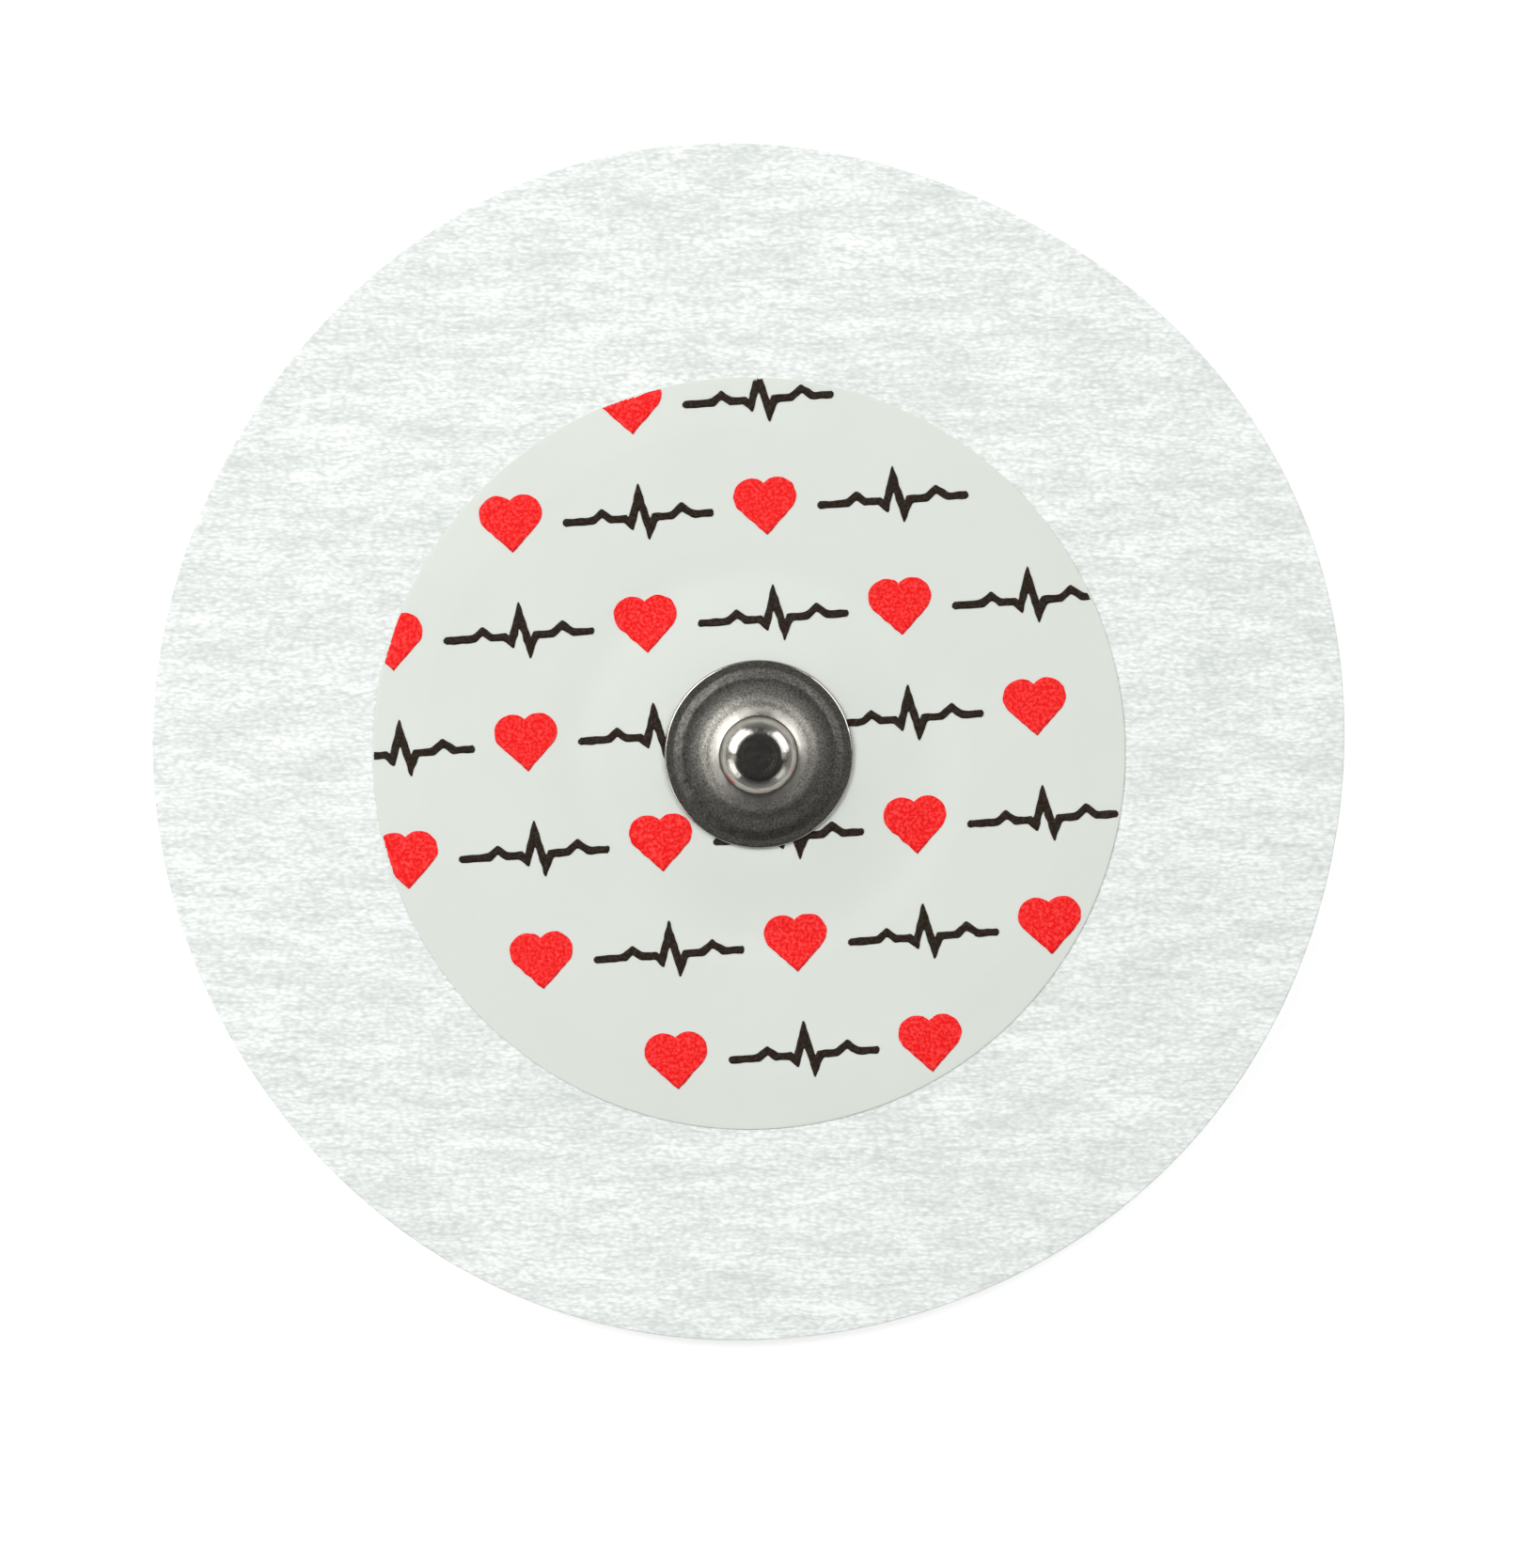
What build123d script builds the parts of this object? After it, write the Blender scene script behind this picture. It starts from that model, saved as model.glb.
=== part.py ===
from build123d import *
from math import radians, tan
import os

os.makedirs("parts", exist_ok=True)

# Driving dimensions, in millimetres and degrees.
# The electrode lies face up: the release liner is at the bottom and the snap stud points up.
# The origin is under the middle of the tape, on the surface that the electrode lies on.

# Backing tape, with a round window for the gel pad
tape_d = 60
tape_thickness = 0.3
window_d = 20.6

# The stud, the eyelet, the gel pad, the window and the liner's dish share one axis, the stack's.
# That axis and the label each lie a little off the middle of the tape.
stack_x = 0.55
stack_y = -0.53
label_x = 0.05
label_y = -0.52

# Label, a printed film that is lifted over the eyelet and sags into the moat round the gel pad
label_d = 37.8
label_thickness = 0.15
label_hole_clearance = 0.15
seat_lift = 0.25
seat_margin = 0.15
sag_depth = 0.12
sag_width = 0.5
window_margin = 0.2

# Snap stud, a drawn shell of sheet steel, from its head down and out to its rim
stud_wall = 0.25
head_d = 4
head_shoulder_r = 1
head_band = 0.35
head_edge_r = 0.3
undercut = 0.28
undercut_fall = 0.3
neck_blend_r = 0.3
neck_height = 0.5
foot_blend_r = 0.3
foot_run = 0.73
foot_fall = 0.2
cone_blend_r = 0.8
cone_run = 0.6
cone_fall = 0.36
ring_blend_r = 1.8
ring_run = 0.8
step_blend_r = 0.8
step_run = 0.45
step_fall = 0.07
rim_blend_r = 0.8
rim_run = 0.435

# Eyelet, a plated plastic flange with a post that fills the stud's neck
flange_margin = 0.45
flange_thickness = 0.6
flange_edge_r = 0.25
post_clearance = 0.04
post_tip_clearance = 0.3
post_tip_r = 0.5
post_foot_r = 0.1

# Gel pad, which fills the space under the eyelet and the label and stands proud below the tape
gel_moat = 1.8
gel_proud = 0.9
gel_edge_r = 0.3

# Release liner, a clear film with a dish that holds the gel pad
liner_thickness = 0.15
dish_clearance = 0.3
dish_draft = 30
dish_floor_r = 0.5
dish_lip_r = 0.4

# Print: rows of hearts and pulse traces by turns, in two inks
ink_thickness = 0.03
ink_clearance = 0.1
print_turn = 4
motif_pitch_x = 12.8
motif_pitch_y = 5.5
motif_phase_x = 1.7
motif_phase_y = 1.2
heart_square = 1.85
pulse_length = 7.6
pulse_height = 2.1
pulse_stroke = 0.38

# How far a cut or a round blank runs past the piece that it trims
overrun = 2

# Levels, from the floor of the dish up
liner_top = gel_proud + liner_thickness
tape_top = liner_top + tape_thickness
label_top = tape_top + label_thickness
flange_top = tape_top + seat_lift
seat_level = flange_top + label_thickness
rim_top = seat_level + stud_wall
ring_top = rim_top + step_fall
cone_top = ring_top + cone_fall
neck_base = cone_top + foot_fall
neck_top = neck_base + neck_height
head_base = neck_top + undercut_fall
stud_top = head_base + head_band + head_shoulder_r
post_top = stud_top - stud_wall - post_tip_clearance

# Radii, from the stack's axis out
head_r = head_d / 2
neck_r = head_r - undercut
cone_top_r = neck_r + foot_run
cone_foot_r = cone_top_r + cone_run
ring_r = cone_foot_r + ring_run
rim_inner_r = ring_r + step_run
brim_r = rim_inner_r + rim_run
post_r = neck_r - stud_wall - post_clearance
label_hole_r = post_r + label_hole_clearance
flange_r = brim_r + flange_margin
seat_r = flange_r + seat_margin
window_r = window_d / 2
gel_r = window_r - gel_moat
sag_r = (window_r + gel_r) / 2
dish_r = gel_r + dish_clearance
blank_r = tape_d / 2 + overrun

# The stack's axis, and the upright plane through it that the round profiles are drawn on
stack_axis = Axis((stack_x, stack_y, 0), (0, 0, 1))
section = Plane(origin=(stack_x, stack_y, 0), x_dir=(1, 0, 0), z_dir=(0, -1, 0))

# A pulse trace from left to right, as shares of its length and height
pulse_shares = [
    (-0.5, 0),
    (-0.3, 0),
    (-0.24, 0.17),
    (-0.18, 0),
    (-0.09, 0),
    (-0.05, -0.14),
    (0.01, 0.55),
    (0.07, -0.32),
    (0.11, 0),
    (0.22, 0),
    (0.29, 0.2),
    (0.36, 0),
    (0.5, 0),
]


def formed_line(lift):
    """Profile of the label's underside, from the stack's axis out past its edge, raised by lift.

    The film is level over the eyelet's flange, slopes down over the gel pad, sags in the moat
    and comes level again just inside the window's edge, to lie flat on the tape. The slopes are
    gentle, so a layer's thickness is set straight up.
    """
    Polyline(
        (0, flange_top + lift),
        (seat_r, flange_top + lift),
        (sag_r - sag_width / 2, tape_top - sag_depth + lift),
        (sag_r + sag_width / 2, tape_top - sag_depth + lift),
        (window_r - window_margin, tape_top + lift),
        (blank_r, tape_top + lift),
    )


def motif_places(shift):
    """Places on the label for one of the two motifs, in staggered rows.

    Shift moves a row along by a share of the pitch. A place off the label is left out.
    """
    rows = range(-round(label_d / motif_pitch_y), round(label_d / motif_pitch_y) + 1)
    columns = range(-round(label_d / motif_pitch_x), round(label_d / motif_pitch_x) + 1)
    places = [
        Vector(
            (column + shift + row / 2 % 1) * motif_pitch_x + motif_phase_x,
            row * motif_pitch_y + motif_phase_y,
        )
        for row in rows
        for column in columns
    ]
    return [place for place in places if place.length < label_d / 2]


# Snap stud: one wall of sheet steel, measured inwards from its outer face
with BuildPart() as snap_stud:
    with BuildSketch(section):
        with BuildLine():
            FilletPolyline(
                (0, stud_top),
                (head_r, stud_top),
                (head_r, head_base),
                (neck_r, neck_top),
                (neck_r, neck_base),
                (cone_top_r, cone_top),
                (cone_foot_r, ring_top),
                (ring_r, ring_top),
                (rim_inner_r, rim_top),
                (brim_r, rim_top),
                radius=[
                    head_shoulder_r,
                    head_edge_r,
                    neck_blend_r,
                    foot_blend_r,
                    cone_blend_r,
                    ring_blend_r,
                    step_blend_r,
                    rim_blend_r,
                ],
            )
            offset(amount=stud_wall, side=Side.RIGHT, closed=True)
        make_face()
    revolve(axis=stack_axis)

# Eyelet: its flange lies under the label and its post stands in the stud
with BuildPart() as eyelet:
    with BuildSketch(section):
        with BuildLine():
            FilletPolyline(
                (0, post_top),
                (post_r, post_top),
                (post_r, flange_top),
                (flange_r, flange_top),
                (flange_r, flange_top - flange_thickness),
                (0, flange_top - flange_thickness),
                radius=[post_tip_r, post_foot_r, 0, flange_edge_r],
            )
            Line((0, flange_top - flange_thickness), (0, post_top))
        make_face()
    revolve(axis=stack_axis)

# Label: a formed film, die-cut round, with a hole for the eyelet's post
with BuildPart() as label:
    with BuildSketch(section):
        with BuildLine():
            formed_line(0)
            formed_line(label_thickness)
            Line((0, flange_top), (0, seat_level))
            Line((blank_r, tape_top), (blank_r, label_top))
        make_face()
    revolve(axis=stack_axis)
    with BuildSketch(Plane.XY.offset(liner_top)):
        with Locations((label_x, label_y)):
            Circle(label_d / 2)
        with Locations((stack_x, stack_y)):
            Circle(label_hole_r, mode=Mode.SUBTRACT)
    extrude(amount=stud_top - liner_top, mode=Mode.INTERSECT)

# Ink: the thin layer on the label's face, outside the stud's rim, that the motifs are cut from
with BuildPart() as ink_layer:
    with BuildSketch(section):
        with BuildLine():
            formed_line(label_thickness)
            formed_line(label_thickness + ink_thickness)
            Line((0, seat_level), (0, seat_level + ink_thickness))
            Line((blank_r, label_top), (blank_r, label_top + ink_thickness))
        make_face()
    revolve(axis=stack_axis)
    with BuildSketch(Plane.XY.offset(liner_top)):
        with Locations((label_x, label_y)):
            Circle(label_d / 2)
        with Locations((stack_x, stack_y)):
            Circle(brim_r + ink_clearance, mode=Mode.SUBTRACT)
    extrude(amount=stud_top - liner_top, mode=Mode.INTERSECT)

print_plane = Plane(
    origin=(label_x, label_y, liner_top),
    x_dir=Vector(1, 0, 0).rotate(Axis.Z, print_turn),
    z_dir=(0, 0, 1),
)

# Red hearts: a square on its corner with a round lobe on each of its upper sides
with BuildPart() as print_hearts:
    with BuildSketch(print_plane):
        with Locations(*motif_places(0)):
            Rectangle(heart_square, heart_square, rotation=45)
            with PolarLocations(heart_square / 2, 2, start_angle=45, angular_range=180):
                Circle(heart_square / 2)
    extrude(amount=stud_top - liner_top)
    add(ink_layer.part, mode=Mode.INTERSECT)

# Black pulse traces: a line of even width along the shape of a heartbeat
with BuildSketch() as pulse_mark:
    with BuildLine():
        Polyline(*[(x * pulse_length, y * pulse_height) for x, y in pulse_shares])
        offset(amount=pulse_stroke / 2, kind=Kind.INTERSECTION, side=Side.BOTH)
    make_face()

with BuildPart() as print_pulses:
    with BuildSketch(print_plane):
        with Locations(*motif_places(0.5)):
            add(pulse_mark.sketch)
    extrude(amount=stud_top - liner_top)
    add(ink_layer.part, mode=Mode.INTERSECT)

# Backing tape: a round of nonwoven cloth with the window for the gel pad
with BuildPart() as backing_tape:
    with BuildSketch(Plane.XY.offset(liner_top)):
        Circle(tape_d / 2)
        with Locations((stack_x, stack_y)):
            Circle(window_r, mode=Mode.SUBTRACT)
    extrude(amount=tape_thickness)

# Gel pad: its top follows the underside of the label and takes in the eyelet's flange
with BuildPart() as gel_pad:
    with BuildSketch(section):
        with BuildLine():
            formed_line(0)
            Polyline(
                (blank_r, tape_top),
                (blank_r, liner_thickness),
                (0, liner_thickness),
                (0, flange_top),
            )
        make_face()
    revolve(axis=stack_axis)
    with BuildSketch(Plane.XY.offset(liner_thickness)):
        with Locations((stack_x, stack_y)):
            Circle(gel_r)
    extrude(amount=flange_top, mode=Mode.INTERSECT)
    fillet(edges().filter_by(GeomType.CIRCLE).group_by(Axis.Z)[0], gel_edge_r)
    add(eyelet.part, mode=Mode.SUBTRACT)

# Release liner: its dish reaches down to the surface that the electrode lies on
with BuildPart() as release_liner:
    with BuildSketch(section):
        with BuildLine():
            FilletPolyline(
                (0, liner_thickness),
                (dish_r, liner_thickness),
                (dish_r + gel_proud * tan(radians(dish_draft)), liner_top),
                (blank_r, liner_top),
                radius=[dish_floor_r, dish_lip_r],
            )
            offset(amount=liner_thickness, side=Side.RIGHT, closed=True)
        make_face()
    revolve(axis=stack_axis)
    with BuildSketch():
        Circle(tape_d / 2)
    extrude(amount=liner_top, mode=Mode.INTERSECT)

snap_stud.part.label = "snap_stud"
eyelet.part.label = "eyelet"
label.part.label = "label"
print_hearts.part.label = "print_hearts"
print_pulses.part.label = "print_pulses"
backing_tape.part.label = "backing_tape"
gel_pad.part.label = "gel_pad"
release_liner.part.label = "release_liner"

export_step(snap_stud.part, "parts/snap_stud.step")
export_step(eyelet.part, "parts/eyelet.step")
export_step(label.part, "parts/label.step")
export_step(print_hearts.part, "parts/print_hearts.step")
export_step(print_pulses.part, "parts/print_pulses.step")
export_step(backing_tape.part, "parts/backing_tape.step")
export_step(gel_pad.part, "parts/gel_pad.step")
export_step(release_liner.part, "parts/release_liner.step")
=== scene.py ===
import bmesh
import bpy
import numpy as np
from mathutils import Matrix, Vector


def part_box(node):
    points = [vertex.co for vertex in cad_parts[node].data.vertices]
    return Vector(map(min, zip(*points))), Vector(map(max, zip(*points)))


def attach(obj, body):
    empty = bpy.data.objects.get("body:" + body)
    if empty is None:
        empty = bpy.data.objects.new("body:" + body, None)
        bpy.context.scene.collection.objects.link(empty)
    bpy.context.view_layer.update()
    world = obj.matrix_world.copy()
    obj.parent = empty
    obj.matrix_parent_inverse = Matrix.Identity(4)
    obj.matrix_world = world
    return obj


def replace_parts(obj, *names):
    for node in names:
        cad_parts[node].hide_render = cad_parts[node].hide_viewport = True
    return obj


bl_info = {
    "name": "ECG Electrode",
    "version": (1, 0, 0),
    "blender": (4, 5, 0),
    "location": "3D View > Sidebar > Electrode",
    "description": "Dresses a snap electrode: cloth tape, printed label, steel stud, gel and liner",
    "category": "Add Mesh",
}

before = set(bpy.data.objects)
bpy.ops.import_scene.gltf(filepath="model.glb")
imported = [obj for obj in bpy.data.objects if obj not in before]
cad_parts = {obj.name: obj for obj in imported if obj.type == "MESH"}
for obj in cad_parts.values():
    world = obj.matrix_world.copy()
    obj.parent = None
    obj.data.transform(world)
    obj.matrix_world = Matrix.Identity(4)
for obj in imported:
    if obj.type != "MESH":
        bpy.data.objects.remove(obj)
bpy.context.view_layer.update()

MM = 0.001
FULL_TURN = 2 * np.pi


def linear(code):
    """Turns an sRGB hex code into linear red, green and blue."""
    srgb = np.array([int(code[i : i + 2], 16) for i in (1, 3, 5)]) / 255
    return tuple(np.where(srgb <= 0.04045, srgb / 12.92, ((srgb + 0.055) / 1.055) ** 2.4))


def node_box(node):
    """The lowest and highest corners of a node, in millimetres."""
    return np.array(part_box(node)) / MM


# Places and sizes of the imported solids, in millimetres
STACK = node_box("snap_stud").mean(0)[:2]
LABEL_MIDDLE = node_box("label").mean(0)[:2]
TAPE_MIDDLE = node_box("backing_tape").mean(0)[:2]
BRIM_R, FLANGE_R, GEL_R, LABEL_R, TAPE_R = (
    np.ptp(node_box(node), axis=0)[0] / 2
    for node in ("snap_stud", "eyelet", "gel_pad", "label", "backing_tape")
)
SEAT = node_box("snap_stud")[0, 2]
FLANGE_LOW = node_box("eyelet")[0, 2]
LINER_TOP, TAPE_TOP = node_box("backing_tape")[:, 2]
GEL_LOW = node_box("gel_pad")[0, 2]

# Space between faces that touch, so that neither shows through the other
TOUCH = 0.01

# Bare film between the print and the label's edge, and how far the print runs in under the brim
PRINT_MARGIN, PRINT_HIDDEN = 0.05, 0.2

# A pulse trace from left to right, as shares of its length and height
PULSE_SHARES = (
    (-0.5, 0),
    (-0.3, 0),
    (-0.24, 0.17),
    (-0.18, 0),
    (-0.09, 0),
    (-0.05, -0.14),
    (0.01, 0.55),
    (0.07, -0.32),
    (0.11, 0),
    (0.22, 0),
    (0.29, 0.2),
    (0.36, 0),
    (0.5, 0),
)


def length(name, description, value):
    """A length property, with its default in millimetres."""
    return bpy.props.FloatProperty(
        name=name, description=description, default=value * MM, unit="LENGTH", precision=5
    )


def angle(name, description, degrees):
    """An angle property, with its default in degrees."""
    return bpy.props.FloatProperty(
        name=name, description=description, default=np.radians(degrees), subtype="ANGLE"
    )


def radiance(name, description, value):
    """A lamp's strength, with its default in watts per square metre and steradian."""
    return bpy.props.FloatProperty(name=name, description=description, default=value)


def colour(name, description, code):
    """A colour property, with its default as an sRGB hex code."""
    return bpy.props.FloatVectorProperty(
        name=name, description=description, default=linear(code), size=3, subtype="COLOR"
    )


class ElectrodeTape(bpy.types.PropertyGroup):
    """Sizes and colours of the backing tape"""

    window: length("Window", "Diameter of the window for the gel pad", 20.6)
    edge_round: length("Edge Round", "Rounding of the die-cut edge", 0.06)
    ripple: length("Ripple", "Height of the ripples in the cloth", 0.02)
    # Light and shade are partly painted: raised crinkles take the light colour and the lines between them
    # the shade colour, besides the cloth's dense and thin bands
    light: colour("Light", "Colour where the cloth is dense", "#fbfffc")
    shade: colour("Shade", "Colour where the cloth is thin", "#d1d7d3")


class ElectrodeLabel(bpy.types.PropertyGroup):
    """Sizes and colours of the label"""

    thickness: length("Thickness", "Thickness of the film", 0.15)
    hole: length("Hole", "Diameter of the hole for the eyelet's post", 3.16)
    edge_round: length("Edge Round", "Rounding of the die-cut edge", 0.02)
    edge_thickness: length("Edge Thickness", "Thickness that the die presses the edge to", 0.06)
    pressed: length("Pressed", "Width of the rim that the die presses thinner", 2.5)
    seat_margin: length("Seat Margin", "Width of level film outside the eyelet", 0.15)
    sag: length("Sag", "How far the film sags into the moat round the gel pad", 0.06)
    sag_width: length("Sag Width", "Width of the bottom of the sag", 0.5)
    window_margin: length("Window Margin", "Gap from the sag to the window's edge", 0.2)
    blend: length("Blend", "Reach of the rounding where the film changes slope", 0.7)
    film: colour("Film", "Colour of the label film", "#e0e5de")


class ElectrodePrint(bpy.types.PropertyGroup):
    """Sizes and colours of the printed hearts and pulse traces"""

    ink: length("Ink", "Thickness of the ink", 0.03)
    turn: angle("Turn", "Turn of the rows", 4)
    pitch_x: length("Pitch X", "Distance between like motifs in a row", 12.8)
    pitch_y: length("Pitch Y", "Distance between rows", 5.5)
    phase_x: length("Phase X", "Shift of the rows along themselves", 1.7)
    phase_y: length("Phase Y", "Shift of the rows across themselves", 1.2)
    heart: length("Heart", "Side of the square in a heart", 1.85)
    pulse_length: length("Pulse Length", "Length of a pulse trace", 7.6)
    pulse_height: length("Pulse Height", "Height that a pulse trace's shape is scaled to", 2.1)
    pulse_stroke: length("Pulse Stroke", "Width of a pulse trace's line", 0.38)
    wander: length("Wander", "How far the ink's edges stray", 0.02)
    red: colour("Red", "Colour of the hearts", "#fc1a1a")
    black: colour("Black", "Colour of the pulse traces", "#271c12")


class ElectrodeStud(bpy.types.PropertyGroup):
    """Sizes and colours of the snap stud, from its head down and out to its rim"""

    wall: length("Wall", "Thickness of the sheet steel", 0.25)
    head: length("Head", "Diameter of the head", 4)
    shoulder: length("Shoulder", "Rounding of the head's top edge", 1)
    band: length("Band", "Height of the head's straight band", 0.35)
    undercut: length("Undercut", "Depth of the neck below the head", 0.28)
    undercut_fall: length("Undercut Fall", "Height of the slope from the head to the neck", 0.3)
    neck: length("Neck", "Height of the neck", 0.5)
    foot_run: length("Foot Run", "Width of the foot round the neck", 0.73)
    foot_fall: length("Foot Fall", "Fall of the foot", 0.2)
    cone_run: length("Cone Run", "Width of the cone", 0.6)
    cone_fall: length("Cone Fall", "Fall of the cone", 0.36)
    ring_run: length("Ring Run", "Width of the flat ring", 0.8)
    step_run: length("Step Run", "Width of the step", 0.45)
    step_fall: length("Step Fall", "Fall of the step", 0.07)
    bend: length("Bend", "Rounding of the bends above and below the neck", 0.3)
    brim_bend: length("Brim Bend", "Rounding of the bends in the cone and the brim", 0.8)
    cone_foot_bend: length("Cone Foot Bend", "Rounding of the bend at the cone's foot", 1.8)
    edge_round: length("Edge Round", "Rounding of the sheared rim", 0.1)
    grain: length("Grain", "Size of the matt grain left by drawing", 0.1)
    steel: colour("Steel", "Colour of the stainless steel", "#b9b6ae")


class ElectrodeUnderside(bpy.types.PropertyGroup):
    """Sizes and colours of the gel pad, the eyelet and the release liner"""

    gel_rim: length("Gel Rim", "Rounding of the gel pad's upper edge", 0.1)
    gel_edge: length("Gel Edge", "Rounding of the gel pad's lower edge", 0.3)
    liner: length("Liner", "Thickness of the liner film", 0.15)
    dish_clearance: length("Dish Clearance", "Gap between the gel pad and the dish", 0.3)
    dish_draft: angle("Dish Draft", "Slope of the dish's wall from upright", 30)
    floor_round: length("Floor Round", "Rounding at the dish's floor", 0.5)
    lip_round: length("Lip Round", "Rounding at the dish's lip", 0.4)
    liner_inset: length("Liner Inset", "How far the liner's edge lies inside the tape's", 0.05)
    gel: colour("Gel", "Colour of the solid gel", "#eeeee0")
    plating: colour("Plating", "Colour of the silver chloride plating", "#8b8789")
    film: colour("Film", "Colour of the liner film", "#f7fafa")


class ElectrodeStage(bpy.types.PropertyGroup):
    """The camera's framing, the lamps and the floor"""

    view_height: length("View Height", "Height of the photograph at the tape", 78.77)
    view_x: length("View X", "Middle of the view, to the right of the tape's middle", 0.69)
    view_y: length("View Y", "Middle of the view, above the tape's middle", -2.05)
    distance: length("Distance", "From the camera to the tape", 700)
    tilt: angle("Tilt", "Lean of the camera's line", 1.9)
    left: radiance("Left", "Radiance of the left lamp", 5.2)
    right: radiance("Right", "Radiance of the right lamp", 4.2)
    front_left: radiance("Front Left", "Radiance of the front left lamp", 2.5)
    front_right: radiance("Front Right", "Radiance of the front right lamp", 1.2)
    floor_side: length("Floor Side", "Length of the floor's sides", 1800)
    floor: colour("Floor", "Colour of the floor", "#e6e6e6")


def filleted(points, radii, steps=12):
    """Rounds the corners of an open outline, each with an arc of its own radius.

    The arc starts before the corner by its radius times the tangent of half the turn there. Its
    centre lies a radius from that start, on the inside of the turn, and each of its points is the
    centre plus the radius times the start's direction, turned by a share of the whole turn.
    """
    points, radii = np.asarray(points, float), np.asarray(radii, float)
    along = np.diff(points, axis=0)
    along /= np.linalg.norm(along, axis=1, keepdims=True)
    before, after = along[:-1], along[1:]
    cross = before[:, 0] * after[:, 1] - before[:, 1] * after[:, 0]
    turn = np.arctan2(np.abs(cross), (before * after).sum(1))
    inside = np.sign(cross)[:, None] * np.stack([-before[:, 1], before[:, 0]], 1)
    start = points[1:-1] - before * (radii * np.tan(turn / 2))[:, None]
    centre = start + inside * radii[:, None]
    bent = (turn[:, None] * np.linspace(0, 1, steps))[..., None]
    swing = before[:, None] * np.sin(bent) - inside[:, None] * np.cos(bent)
    arcs = centre[:, None] + radii[:, None, None] * swing
    return np.concatenate([points[:1], arcs.reshape(-1, 2), points[-1:]])


def inset(points, distance):
    """Moves an open outline to its right by a distance and keeps its sides parallel.

    A corner moves along the sum of its two sides' normals, divided by one plus their product.
    """
    points = np.asarray(points, float)
    along = np.diff(points, axis=0)
    along /= np.linalg.norm(along, axis=1, keepdims=True)
    normal = np.stack([along[:, 1], -along[:, 0]], 1)
    share = 1 + (normal[:-1] * normal[1:]).sum(1)
    corners = (normal[:-1] + normal[1:]) / share[:, None]
    return points + distance * np.concatenate([normal[:1], corners, normal[-1:]])


def divided(outline, step):
    """Adds points along an outline, a step apart, and keeps the points that it has."""
    travelled = np.concatenate([[0], np.linalg.norm(np.diff(outline, axis=0), axis=1).cumsum()])
    marks = np.unique(np.concatenate([travelled, np.arange(0, travelled[-1], step)]).round(6))
    return np.stack([np.interp(marks, travelled, outline[:, axis]) for axis in (0, 1)], 1)


def swells(x, y, wavelength, count, seed):
    """A soft random field between about -1 and 1.

    It is a sum of plane waves. Each has a random heading and phase, and a length within a third
    of the one given.
    """
    rng = np.random.default_rng(seed)
    heading, phase = rng.uniform(0, FULL_TURN, (2, count))
    number = FULL_TURN / (wavelength * rng.uniform(0.67, 1.33, count))
    waves = np.sin(
        x[..., None] * np.cos(heading) * number + y[..., None] * np.sin(heading) * number + phase
    )
    return waves.sum(-1) / np.sqrt(2 * count)


def add_piece(name, points, faces, material):
    """Makes a piece of the object from points in millimetres and faces.

    Points that fall on each other are merged, which closes seams and poles.
    """
    mesh = bpy.data.meshes.new(name)
    mesh.from_pydata(points * MM, [], faces)
    shell = bmesh.new()
    shell.from_mesh(mesh)
    bmesh.ops.remove_doubles(shell, verts=shell.verts, dist=1e-8)
    shell.to_mesh(mesh)
    shell.free()
    mesh.shade_smooth()
    mesh.materials.append(material)
    piece = bpy.data.objects.new(name, mesh)
    bpy.context.scene.collection.objects.link(piece)
    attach(piece, "root")
    return piece


def ring_faces(turns, count, open_section):
    """Faces of a grid of sections round an axis, which meet after the last section.

    A section runs outwards over the top of the piece and back underneath it. It meets itself
    too, unless it is open, with its ends on the axis.
    """
    turn, mark = np.mgrid[0:turns, 0 : count - open_section]
    following, beside = (mark + 1) % count, (turn + 1) % turns * count
    corners = [turn * count + mark, turn * count + following, beside + following, beside + mark]
    return np.stack(corners, -1).reshape(-1, 4)


def around(turns):
    """Evenly spaced headings round a full turn, as unit vectors."""
    heading = np.arange(turns) / turns * FULL_TURN
    return np.stack([np.cos(heading), np.sin(heading)], 1)


def lathe(name, section, turns, material):
    """Carries a section of radius and height, with its ends on the axis, round the stack's axis."""
    rings = np.empty((turns, len(section), 3))
    rings[..., :2] = STACK + around(turns)[:, None] * section[None, :, :1]
    rings[..., 2] = section[:, 1]
    faces = ring_faces(turns, len(section), True)
    return add_piece(name, rings.reshape(-1, 3), faces, material)


def reach(turns, middle, radius):
    """Distance from the stack's axis to a circle round another middle, for each heading.

    It is the larger root of the quadratic for where a ray leaves the circle.
    """
    offset = STACK - middle
    half = around(turns) @ offset
    return -half + np.sqrt(half**2 + radius**2 - offset @ offset)


def tape_edge(turns):
    """Distance from the stack's axis to the tape's edge, for each heading.

    The edge is a circle with a few low waves round it, because soft cloth gives under the die.
    """
    heading = np.arange(turns)[:, None] / turns * FULL_TURN
    count, swing = np.array([2, 3, 4, 5]), np.array([0.066, 0.116, 0.085, 0.099])
    phase = np.radians([-161, 1, 88, 164])
    return reach(turns, TAPE_MIDDLE, TAPE_R) + (swing * np.cos(count * heading - phase)).sum(1)


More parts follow.
